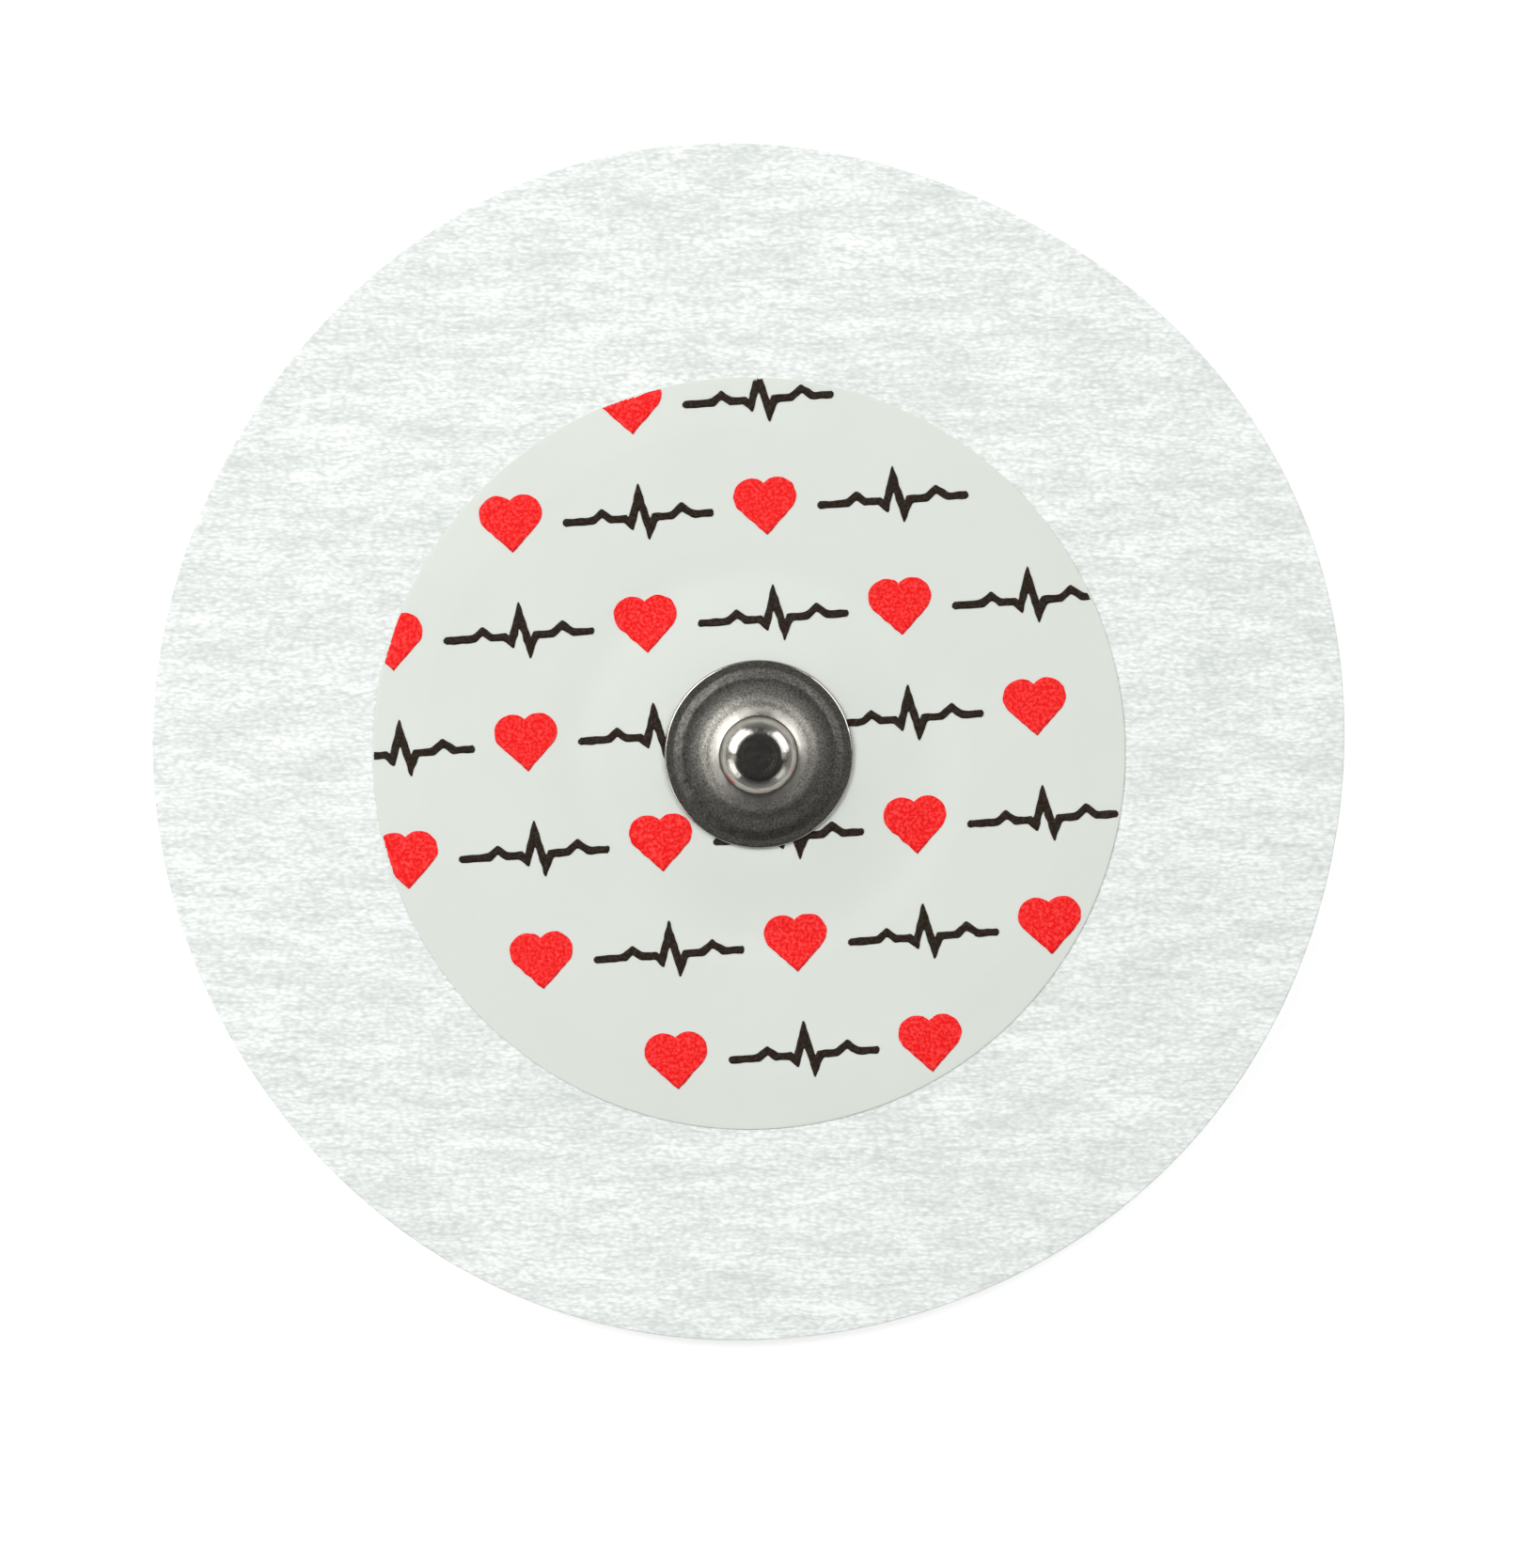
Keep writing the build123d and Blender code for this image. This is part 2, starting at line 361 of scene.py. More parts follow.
def formed_sheet(name, inner, outer, steps, heights, edge, material):
    """Makes a formed sheet round the stack's axis, from a hole or the axis out to a cut edge.

    Inner is the hole's radius, and outer is the distance to the edge for each heading. Along a
    heading, the steps are shares of the way from the hole to the edge. Heights gives the
    underside and the face at each x and y. The edge is rounded by a quarter circle above and
    below.
    """
    turns, bend = len(outer), np.linspace(0, np.pi / 2, 5)[1:]
    flat = np.zeros(len(steps))
    share = np.concatenate([steps, np.ones(2 * len(bend)), steps[::-1]])
    run = np.concatenate([flat, edge * np.sin(bend), edge * np.sin(bend[::-1]), flat])
    drop = np.concatenate([flat, edge * (1 - np.cos(bend))])
    radius = inner + (outer - edge - inner)[:, None] * share + run
    spot = STACK + around(turns)[:, None] * radius[..., None]
    low, high = heights(spot[..., 0], spot[..., 1])
    half = len(drop)
    height = np.concatenate([high[:, :half] - drop, low[:, half:] + drop[::-1]], 1)
    points = np.concatenate([spot, height[..., None]], -1).reshape(-1, 3)
    return add_piece(name, points, ring_faces(turns, 2 * half, inner == 0), material)


def label_underside(x, y):
    """Height of the label's underside.

    It is level over the eyelet's flange, falls in a straight slope to the sag in the moat round
    the gel pad, and rises to lie flat on the tape. A mean over a short way to either side rounds
    its creases.
    """
    label, tape = bpy.context.scene.electrode_label, bpy.context.scene.electrode_tape
    window, half = tape.window / MM / 2, label.sag_width / MM / 2
    sag_r, sag_level = (window + GEL_R) / 2, TAPE_TOP - label.sag / MM
    seat_r = FLANGE_R + label.seat_margin / MM
    marks = (seat_r, sag_r - half, sag_r + half, window - label.window_margin / MM)
    levels = (SEAT - label.thickness / MM, sag_level, sag_level, TAPE_TOP)
    radius = np.hypot(x - STACK[0], y - STACK[1])
    nearby = np.linspace(-1, 1, 9) * label.blend / MM
    return np.interp(radius[..., None] + nearby, marks, levels).mean(-1) + TOUCH


def label_face(x, y):
    """Height of the label's face: its underside and its thickness, which shrinks evenly at the rim."""
    label = bpy.context.scene.electrode_label
    inward = LABEL_R - np.hypot(x - LABEL_MIDDLE[0], y - LABEL_MIDDLE[1])
    marks, levels = (0, label.pressed / MM), (label.edge_thickness / MM, label.thickness / MM)
    return label_underside(x, y) + np.interp(inward, marks, levels)


def motif_places(shift):
    """Places of one of the two motifs, in staggered rows, from the label's middle."""
    ink = bpy.context.scene.electrode_print
    # More rows and columns than the label holds
    row, column = np.mgrid[-7:8, -4:5]
    x = ((column + shift + row / 2 % 1) * ink.pitch_x + ink.phase_x) / MM
    y = (row * ink.pitch_y + ink.phase_y) / MM
    inside = np.hypot(x, y) < LABEL_R
    return np.stack([x[inside], y[inside]], 1)


def on_label(spots):
    """Turns and moves spots from the print's own grid to the label.

    Each spot strays a little, because the ink spreads unevenly under the plate. Returns the spots,
    and for each of them 1 where it holds ink and 0 where it doesn't. The print is cut at the
    label's edge and under the stud's rim: a spot past the edge moves back to it.
    """
    ink = bpy.context.scene.electrode_print
    cosine, sine = np.cos(ink.turn), np.sin(ink.turn)
    spots = spots @ np.array([[cosine, sine], [-sine, cosine]])
    x, y = spots[..., 0], spots[..., 1]
    wander = [swells(x, y, wavelength=0.7, count=12, seed=seed) for seed in (7, 8)]
    spots = spots + ink.wander / MM * np.stack(wander, -1)
    past = np.linalg.norm(spots, axis=-1) / (LABEL_R - PRINT_MARGIN)
    spots = spots / np.maximum(1, past)[..., None] + LABEL_MIDDLE
    radius = np.linalg.norm(spots - STACK, axis=-1)
    return spots, np.where((past > 1) | (radius < BRIM_R - PRINT_HIDDEN), 0, 1)


def printed(name, marks, material, node):
    """Makes one piece of many flat marks on the label's face.

    Each mark is a grid of spots, by row and column. The ink is a closed layer, so the grid is
    laid twice, just under the film's face and an ink's thickness above it, and its rims are
    joined.
    """
    ink = bpy.context.scene.electrode_print
    spots, held = on_label(marks)
    face = label_face(spots[..., 0], spots[..., 1])
    count, rows, columns = face.shape
    sunk = face - 2 * TOUCH
    height = np.stack([sunk - TOUCH, np.where(held, face + ink.ink / MM, sunk)], 1)[..., None]
    spots = np.broadcast_to(spots[:, None], (count, 2, rows, columns, 2))
    points = np.concatenate([spots, height], -1).reshape(-1, 3)
    number = np.arange(2 * rows * columns).reshape(2, rows, columns)
    low, high = number
    top = [high[:-1, :-1], high[:-1, 1:], high[1:, 1:], high[1:, :-1]]
    bottom = [low[:-1, :-1], low[1:, :-1], low[1:, 1:], low[:-1, 1:]]
    sides = number[:, 0, :-1], number[:, :-1, -1], number[:, -1, :0:-1], number[:, :0:-1, 0]
    rim = np.concatenate(sides, 1)
    after = np.roll(rim, -1, axis=1)
    wall = [rim[0], after[0], after[1], rim[1]]
    faces = np.concatenate([np.stack(part, -1).reshape(-1, 4) for part in (top, bottom, wall)])
    faces = (faces + number.size * np.arange(count)[:, None, None]).reshape(-1, 4)
    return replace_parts(add_piece(name, points, faces, material), node)


def add_node(tree, kind, links=None, **settings):
    """Adds a node with its settings, and links or sets its inputs. Returns its first output.

    A colour is given as red, green and blue.
    """
    node = tree.nodes.new(kind)
    for key, value in settings.items():
        setattr(node, key, value)
    for key, value in (links or {}).items():
        fitting = [entry for entry in node.inputs if entry.enabled and entry.name == key]
        entry = node.inputs[key] if isinstance(key, int) else fitting[0]
        if isinstance(value, bpy.types.NodeSocket):
            tree.links.new(value, entry)
        else:
            entry.default_value = (*value, 1) if entry.type == "RGBA" else value
    return next((entry for entry in node.outputs if entry.enabled), None)


def new_material(name, finish, *settings):
    """A material whose finish is a function of its tree, the object's coordinates and settings."""
    material = bpy.data.materials.new(name)
    material.use_nodes = True
    tree = material.node_tree
    tree.nodes.clear()
    place = add_node(tree, "ShaderNodeTexCoord").node.outputs["Object"]
    add_node(tree, "ShaderNodeOutputMaterial", {"Surface": finish(tree, place, *settings)})
    return material


def from_stack(tree, place):
    """Distance from the stack's axis: the length of the offset from it, with no height."""
    offset = add_node(tree, "ShaderNodeVectorMath", {0: place, 1: (*(STACK * MM), 0)}, operation="SUBTRACT")
    level = add_node(tree, "ShaderNodeVectorMath", {0: offset, 1: (1, 1, 0)}, operation="MULTIPLY")
    return add_node(tree, "ShaderNodeVectorMath", {0: level}, operation="LENGTH")


def lit_through(tree, shader, tint):
    """Lets shadow rays straight through a clear or milky shader, dimmed by a tint."""
    straight = add_node(tree, "ShaderNodeBsdfTransparent", {"Color": tint})
    shadow = add_node(tree, "ShaderNodeLightPath").node.outputs["Is Shadow Ray"]
    return add_node(tree, "ShaderNodeMixShader", {0: shadow, 1: shader, 2: straight})


def spunlaced_cloth(tree, place, tape):
    """Spunlaced viscose and polyester: a combed web that water jets have crinkled.

    Most fibres lie along the machine's direction, here from side to side. Between the jets' marks
    the web stands up in small crinkles with thin lines between them: the crinkles are painted lighter,
    as painted highlights, and the lines painted grey, as painted shade. Longer threads cross it, and
    it is dense in some bands and thin in others. Single fibres are about 0.015 mm wide, too fine to
    show, so the crinkles and threads are drawn 0.1 to 0.2 mm wide.
    """
    drift = add_node(tree, "ShaderNodeTexNoise", {"Vector": place, "Scale": 1 / (1.5 * MM), "Detail": 2})
    centred = add_node(
        tree,
        "ShaderNodeVectorMath",
        {0: drift.node.outputs["Color"], 1: (0.5, 0.5, 0.5)},
        operation="SUBTRACT",
    )
    strayed = add_node(
        tree,
        "ShaderNodeVectorMath",
        {0: centred, 1: (0.3 * MM, 0.3 * MM, 0.3 * MM), 2: place},
        operation="MULTIPLY_ADD",
    )

    def laid(along, across, lean):
        """The cloth's coordinates, stretched to a length and width in millimetres and leaning."""
        return add_node(
            tree,
            "ShaderNodeMapping",
            {
                "Vector": strayed,
                "Rotation": (0, 0, np.radians(lean)),
                "Scale": (1 / (along * MM), 1 / (across * MM), 1 / (across * MM)),
            },
        )

    height = 0.0
    # Each layer of crinkles: length and width in millimetres, lean in degrees, and weight
    for along, across, lean, weight in ((0.32, 0.165, 5, -0.3), (0.42, 0.185, -9, -0.3)):
        crinkle = add_node(
            tree,
            "ShaderNodeTexVoronoi",
            {"Vector": laid(along, across, lean), "Scale": 1},
            voronoi_dimensions="2D",
        )
        height = add_node(
            tree, "ShaderNodeMath", {0: crinkle, 1: weight, 2: height}, operation="MULTIPLY_ADD"
        )
    # Each layer of bands and fibres, in the same way
    for along, across, lean, weight in ((4, 0.8, 2, 0.7), (1, 0.15, -3, 0.7)):
        web = add_node(
            tree,
            "ShaderNodeTexNoise",
            {"Vector": laid(along, across, lean), "Scale": 1, "Detail": 3, "Roughness": 0.55},
        )
        height = add_node(tree, "ShaderNodeMath", {0: web, 1: weight, 2: height}, operation="MULTIPLY_ADD")
    # A thread lies where a long, narrow noise field passes its middle value
    field = add_node(tree, "ShaderNodeTexNoise", {"Vector": laid(3.2, 0.3, 3), "Scale": 1, "Detail": 1})
    beside = add_node(tree, "ShaderNodeMath", {0: field, 1: 0.5}, operation="SUBTRACT")
    beside = add_node(tree, "ShaderNodeMath", {0: beside}, operation="ABSOLUTE")
    thread = add_node(
        tree,
        "ShaderNodeMapRange",
        {"Value": beside, "From Max": 0.03, "To Min": -0.12, "To Max": 0},
        interpolation_type="SMOOTHSTEP",
    )
    height = add_node(tree, "ShaderNodeMath", {0: height, 1: thread}, operation="ADD")
    # The colour follows the height: raised crinkles are painted lighter and the lines between them
    # darker, painted light and shade on top of the cloth's denser and thinner bands. The power leaves
    # more of the cloth in its middle tones and lets a few fibres stand out bright, as painted highlights
    tone = add_node(tree, "ShaderNodeMapRange", {"Value": height, "From Min": -0.05, "From Max": 0.65})
    tone = add_node(tree, "ShaderNodeMath", {0: tone, 1: 1.8}, operation="POWER")
    shade = add_node(
        tree, "ShaderNodeMix", {"Factor": tone, "A": tape.shade, "B": tape.light}, data_type="RGBA"
    )
    bump = add_node(tree, "ShaderNodeBump", {"Height": height, "Strength": 0.4, "Distance": 0.08 * MM})
    return add_node(
        tree,
        "ShaderNodeBsdfPrincipled",
        {"Base Color": shade, "Roughness": 0.85, "Specular IOR Level": 0.25, "Normal": bump},
    )


def polyethylene_film(tree, place, label):
    """White polyethylene film, cast and die-cut: satin, with a faint orange peel."""
    peel = add_node(tree, "ShaderNodeTexNoise", {"Vector": place, "Scale": 1 / (0.5 * MM), "Detail": 2})
    satin = add_node(tree, "ShaderNodeMapRange", {"Value": peel, "To Min": 0.38, "To Max": 0.5})
    milk = add_node(tree, "ShaderNodeTexNoise", {"Vector": place, "Scale": 1 / (6 * MM), "Detail": 3})
    # Painted shade: over the gel pad, which is darker than the cloth, the film's colour is darkened a
    # little, standing in for the darker gel seen through the thin film
    painted_gel_shade = add_node(
        tree,
        "ShaderNodeMapRange",
        {
            "Value": from_stack(tree, place),
            "From Min": (GEL_R - 1.5) * MM,
            "From Max": GEL_R * MM,
            "To Min": -0.25,
            "To Max": 0,
        },
        interpolation_type="SMOOTHSTEP",
    )
    pale = add_node(tree, "ShaderNodeMath", {0: milk, 1: painted_gel_shade}, operation="ADD")
    shade = add_node(
        tree, "ShaderNodeMix", {"Factor": pale, "A": 0.94 * label.film, "B": label.film}, data_type="RGBA"
    )
    bump = add_node(tree, "ShaderNodeBump", {"Height": peel, "Strength": 0.25, "Distance": 0.01 * MM})
    return add_node(
        tree, "ShaderNodeBsdfPrincipled", {"Base Color": shade, "Roughness": satin, "Normal": bump}
    )


def printing_ink(tree, place, ink, film, through):
    """Flexographic ink: pressed on in one thin coat that mottles as the plate lifts.

    It is deepest in colour where it lies thick. Where it lies thin, some of the film shows
    through it.
    """
    mottle = add_node(
        tree,
        "ShaderNodeTexNoise",
        {"Vector": place, "Scale": 1 / (0.17 * MM), "Detail": 2, "Roughness": 0.6},
    )
    thin = add_node(tree, "ShaderNodeMapRange", {"Value": mottle, "From Min": 0.42, "From Max": 0.74})
    shade = add_node(
        tree, "ShaderNodeMix", {"Factor": thin, "A": 0.9 * ink, "B": ink + through * film}, data_type="RGBA"
    )
    bump = add_node(tree, "ShaderNodeBump", {"Height": mottle, "Strength": 0.3, "Distance": 0.01 * MM})
    return add_node(
        tree,
        "ShaderNodeBsdfPrincipled",
        {"Base Color": shade, "Roughness": 0.5, "Specular IOR Level": 0.1, "Normal": bump},
    )


def drawn_steel(tree, place, stud):
    """Stainless steel, deep-drawn: the punch irons the head and neck bright.

    The cone and brim stay free in the die, so their face roughens to a matt grain. Real grains
    are about 0.05 mm across, so they are drawn larger, at the size that shows.
    """
    radius = from_stack(tree, place)
    foot, rim = stud.head / 2 - stud.undercut + stud.foot_run, BRIM_R * MM - stud.edge_round
    cone_foot = foot + stud.cone_run
    # Each is a share that grows outwards: how grainy the steel is, how dull, how far into the painted
    # shade from the bend at the cone's foot on, how level, and how near the sheared rim, which is bright
    # again
    grainy, dull, painted_shade_share, level, sheared = (
        add_node(
            tree,
            "ShaderNodeMapRange",
            {"Value": radius, "From Min": start, "From Max": end},
            interpolation_type="SMOOTHSTEP",
        )
        for start, end in (
            (foot - 0.3 * MM, foot + 0.05 * MM),
            (foot - 0.75 * MM, foot + 0.2 * MM),
            (cone_foot - 0.35 * MM, cone_foot + 0.05 * MM),
            (cone_foot + 0.25 * MM, cone_foot + 0.7 * MM),
            (rim - 0.04 * MM, rim),
        )
    )
    grainy, dull, painted_shade_share, level = (
        add_node(tree, "ShaderNodeMath", {0: share, 1: sheared}, operation="SUBTRACT")
        for share in (grainy, dull, painted_shade_share, level)
    )
    grain = add_node(
        tree,
        "ShaderNodeTexNoise",
        {"Vector": place, "Scale": 1 / stud.grain, "Detail": 3, "Roughness": 0.7},
    )
    roughness = add_node(tree, "ShaderNodeMapRange", {"Value": dull, "To Min": 0.16, "To Max": 0.47})
    for share, change in ((level, -0.14), (grain, 0.08)):
        roughness = add_node(
            tree, "ShaderNodeMath", {0: share, 1: change, 2: roughness}, operation="MULTIPLY_ADD"
        )
    # Bright and dark grains on the matt part, and painted shade that darkens the steel's colour from the
    # bend at the cone's foot outwards
    dim_and_painted_shade = add_node(tree, "ShaderNodeMapRange", {"Value": dull, "To Min": 1.1, "To Max": 0.85})
    for share, change in ((painted_shade_share, -0.46), (level, 0.09)):
        dim_and_painted_shade = add_node(tree, "ShaderNodeMath", {0: share, 1: change, 2: dim_and_painted_shade}, operation="MULTIPLY_ADD")
    grain_and_painted_shade = add_node(
        tree,
        "ShaderNodeMapRange",
        {"Value": grain, "From Min": 0.32, "From Max": 0.68, "To Min": 0.3, "To Max": 1.1},
    )
    grain_and_painted_shade = add_node(tree, "ShaderNodeMath", {0: grain_and_painted_shade, 1: dim_and_painted_shade}, operation="MULTIPLY")
    darker = add_node(
        tree, "ShaderNodeVectorMath", {0: tuple(stud.steel), "Scale": grain_and_painted_shade}, operation="SCALE"
    )
    shade = add_node(
        tree, "ShaderNodeMix", {"Factor": grainy, "A": stud.steel, "B": darker}, data_type="RGBA"
    )
    # Rings that the punch leaves, closer together than 0.05 mm in steel and drawn 0.06 mm apart
    rings = add_node(
        tree,
        "ShaderNodeTexNoise",
        {"W": radius, "Scale": 1 / (0.06 * MM), "Detail": 2},
        noise_dimensions="1D",
    )
    surface = add_node(tree, "ShaderNodeMix", {"Factor": grainy, "A": rings, "B": grain}, data_type="FLOAT")
    # Soft waves that the sheet keeps from drawing, which break up what it reflects
    waves = add_node(tree, "ShaderNodeTexNoise", {"Vector": place, "Scale": 1 / (0.6 * MM), "Detail": 2})
    surface = add_node(tree, "ShaderNodeMath", {0: waves, 1: 3.5, 2: surface}, operation="MULTIPLY_ADD")
    bump = add_node(tree, "ShaderNodeBump", {"Height": surface, "Strength": 0.25, "Distance": 0.03 * MM})
    return add_node(
        tree,
        "ShaderNodeBsdfPrincipled",
        {
            "Base Color": shade,
            "Metallic": 1,
            "Roughness": roughness,
            "Specular Tint": (0.7, 0.7, 0.7),
            "Normal": bump,
        },
    )


def silver_chloride(tree, place, underside):
    """ABS plated with silver and turned to silver chloride: a dull, patchy, violet grey."""
    patches = add_node(tree, "ShaderNodeTexNoise", {"Vector": place, "Scale": 1 / (1.2 * MM), "Detail": 5})
    shade = add_node(
        tree,
        "ShaderNodeMix",
        {"Factor": patches, "A": 0.6 * underside.plating, "B": underside.plating},
        data_type="RGBA",
    )
    pits = add_node(tree, "ShaderNodeTexNoise", {"Vector": place, "Scale": 1 / (0.08 * MM), "Detail": 2})
    bump = add_node(tree, "ShaderNodeBump", {"Height": pits, "Strength": 0.4, "Distance": 0.02 * MM})
    return add_node(
        tree,
        "ShaderNodeBsdfPrincipled",
        {"Base Color": shade, "Metallic": 0.35, "Roughness": 0.55, "Normal": bump},
    )


def solid_gel(tree, place, underside):
    """Cross-linked hydrogel, cast in the pad: milky and wet, with soft lumps and tiny bubbles."""
    lumps = add_node(tree, "ShaderNodeTexNoise", {"Vector": place, "Scale": 1 / (2.5 * MM), "Detail": 3})
    bubbles = add_node(tree, "ShaderNodeTexVoronoi", {"Vector": place, "Scale": 1 / (0.7 * MM)})
    shade = add_node(
        tree,
        "ShaderNodeMix",
        {"Factor": lumps, "A": 0.86 * underside.gel, "B": underside.gel},
        data_type="RGBA",
    )
    relief = add_node(tree, "ShaderNodeMath", {0: bubbles, 1: 0.3, 2: lumps}, operation="MULTIPLY_ADD")
    bump = add_node(tree, "ShaderNodeBump", {"Height": relief, "Strength": 0.35, "Distance": 0.2 * MM})
    gel = add_node(
        tree,
        "ShaderNodeBsdfPrincipled",
        {"Base Color": shade, "Roughness": 0.12, "IOR": 1.36, "Transmission Weight": 0.7, "Normal": bump},
    )
    return lit_through(tree, gel, underside.gel)


def clear_film(tree, place, underside):
    """Clear PET film, siliconised and thermoformed: glossy, with faint waves from forming.

    Shadow rays go straight through it, so the gel and the cloth behind it are lit.
    """
    pull = add_node(tree, "ShaderNodeTexNoise", {"Vector": place, "Scale": 1 / (4 * MM), "Detail": 2})
    bump = add_node(tree, "ShaderNodeBump", {"Height": pull, "Strength": 0.15, "Distance": 0.15 * MM})
    haze = add_node(tree, "ShaderNodeMapRange", {"Value": pull, "To Min": 0.03, "To Max": 0.12})
    film = add_node(
        tree,
        "ShaderNodeBsdfPrincipled",
        {
            "Base Color": underside.film,
            "Roughness": haze,
            "IOR": 1.57,
            "Transmission Weight": 1,
            "Normal": bump,
        },
    )
    return lit_through(tree, film, underside.film)


def seamless_paper(tree, place, stage):
    """Seamless background paper: matt and pale. It shows white, and keeps soft shadows."""
    tooth = add_node(tree, "ShaderNodeTexNoise", {"Vector": place, "Scale": 1 / (1.5 * MM), "Detail": 2})
    bump = add_node(tree, "ShaderNodeBump", {"Height": tooth, "Strength": 0.05, "Distance": 0.05 * MM})
    matt = add_node(tree, "ShaderNodeBsdfDiffuse", {"Color": stage.floor, "Normal": bump})
    path = add_node(tree, "ShaderNodeLightPath").node.outputs
    seen = path["Is Camera Ray"]
    for ray in ("Is Glossy Ray", "Is Transmission Ray"):
        seen = add_node(tree, "ShaderNodeMath", {0: seen, 1: path[ray]}, operation="MAXIMUM")
    lift = add_node(tree, "ShaderNodeMath", {0: seen, 1: 0.6}, operation="MULTIPLY")
    glow = add_node(tree, "ShaderNodeEmission", {"Color": (1, 1, 1), "Strength": lift})
    return add_node(tree, "ShaderNodeAddShader", {0: matt, 1: glow})


class ELECTRODE_OT_stage(bpy.types.Operator):
    """Makes the camera, the lamps, the world and the floor"""

    bl_idname = "electrode.stage"
    bl_label = "Stage"

    def execute(self, context):
        stage, scene = context.scene.electrode_stage, context.scene
        target = Vector((stage.view_x, stage.view_y, TAPE_TOP * MM))
        lean = Vector((0, np.sin(stage.tilt), np.cos(stage.tilt)))
        camera = bpy.data.objects.new("camera", bpy.data.cameras.new("camera"))
        camera.location = target + lean * stage.distance
        camera.rotation_euler = (-stage.tilt, 0, 0)
        camera.data.lens = camera.data.sensor_width * stage.distance / stage.view_height
        camera.data.clip_start, camera.data.clip_end = 0.01, 10
        scene.collection.objects.link(camera)
        scene.camera = camera
        scene.view_settings.view_transform = "Standard"

        # Azimuth and elevation in degrees, distance in metres, side as a share of the distance,
        # and radiance of each softbox
        lamps = (
            (146, 48, 0.5, 0.68, stage.left),
            (32, 48, 0.8, 0.56, stage.right),
            (208, 38, 0.5, 0.44, stage.front_left),
            (318, 36, 0.5, 0.4, stage.front_right),
        )
        for number, (azimuth, elevation, distance, share, glow) in enumerate(lamps):
            turn, rise = np.radians((azimuth, elevation))
            away = Vector((np.cos(turn) * np.cos(rise), np.sin(turn) * np.cos(rise), np.sin(rise)))
            lamp = bpy.data.lights.new(f"softbox_{number}", "AREA")
            lamp.shape, lamp.size = "SQUARE", distance * share
            lamp.energy = glow * np.pi * lamp.size**2
            softbox = bpy.data.objects.new(lamp.name, lamp)
            softbox.location = away * distance
            softbox.rotation_euler = away.to_track_quat("Z", "Y").to_euler()
            softbox.visible_camera = False
            scene.collection.objects.link(softbox)

        world = bpy.data.worlds.new("studio")
        scene.world = world
        world.use_nodes = True
        tree = world.node_tree
        tree.nodes.clear()
        way = add_node(tree, "ShaderNodeTexCoord").node.outputs["Generated"]
        height = add_node(tree, "ShaderNodeSeparateXYZ", {"Vector": way}).node.outputs["Z"]
        # Pale walls, darker near the floor, under a dark ceiling
        rise = add_node(tree, "ShaderNodeMapRange", {"Value": height, "From Max": 0.3, "To Min": 0.6})
        room = add_node(
            tree,
            "ShaderNodeMapRange",
            {"Value": height, "From Min": 0.1, "From Max": 0.8, "To Min": 0.5, "To Max": 0.02},
        )
        room = add_node(tree, "ShaderNodeMath", {0: room, 1: rise}, operation="MULTIPLY")
        seen = add_node(tree, "ShaderNodeLightPath").node.outputs["Is Camera Ray"]
        strength = add_node(tree, "ShaderNodeMix", {"Factor": seen, "A": room, "B": 1})
        backdrop = add_node(tree, "ShaderNodeBackground", {"Color": (1, 1, 1), "Strength": strength})
        add_node(tree, "ShaderNodeOutputWorld", {"Surface": backdrop})

        mesh = bpy.data.meshes.new("floor")
        half = stage.floor_side / 2
        corners = [(-half, -half, 0), (half, -half, 0), (half, half, 0), (-half, half, 0)]
        mesh.from_pydata(corners, [], [(0, 1, 2, 3)])
        mesh.materials.append(new_material("Seamless paper", seamless_paper, stage))
        floor = bpy.data.objects.new("floor", mesh)
        floor.location.z = -TOUCH * MM
        scene.collection.objects.link(floor)
        return {"FINISHED"}


class ELECTRODE_OT_backing_tape(bpy.types.Operator):
    """Makes the backing tape, a die-cut round of nonwoven cloth"""

    bl_idname = "electrode.backing_tape"
    bl_label = "Backing Tape"

    def execute(self, context):
        tape = context.scene.electrode_tape
        window = tape.window / MM / 2

        def heights(x, y):
            """The cloth lies flat under the label. Beyond it, it ripples and puckers, mostly downwards."""
            past = np.hypot(x - LABEL_MIDDLE[0], y - LABEL_MIDDLE[1]) - LABEL_R
            ripple = swells(x, y, wavelength=9, count=12, seed=5) - 0.6
            pucker = (swells(x / 3, y, wavelength=0.9, count=16, seed=6) - 0.8) / 2
            face = TAPE_TOP + tape.ripple / MM * (ripple + pucker) * np.clip(past / 3, 0, 1)
            return LINER_TOP + TOUCH + 0 * x, face

        piece = formed_sheet(
            "backing_tape_cloth",
            window,
            tape_edge(turns=640),
            np.linspace(0, 1, 66) ** 0.8,
            heights,
            tape.edge_round / MM,
            new_material("Spunlaced cloth", spunlaced_cloth, tape),
        )
        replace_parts(piece, "backing_tape")
        return {"FINISHED"}


class ELECTRODE_OT_label(bpy.types.Operator):
    """Makes the label, a film formed over the eyelet and into the moat round the gel pad"""

    bl_idname = "electrode.label"
    bl_label = "Label"

    def execute(self, context):
        label = context.scene.electrode_label
        piece = formed_sheet(
            "label_polyethylene",
            label.hole / MM / 2,
            reach(384, LABEL_MIDDLE, LABEL_R),
            np.linspace(0, 1, 110),
            lambda x, y: (label_underside(x, y), label_face(x, y)),
            label.edge_round / MM,
            new_material("White polyethylene film", polyethylene_film, label),
        )
        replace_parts(piece, "label")
        return {"FINISHED"}


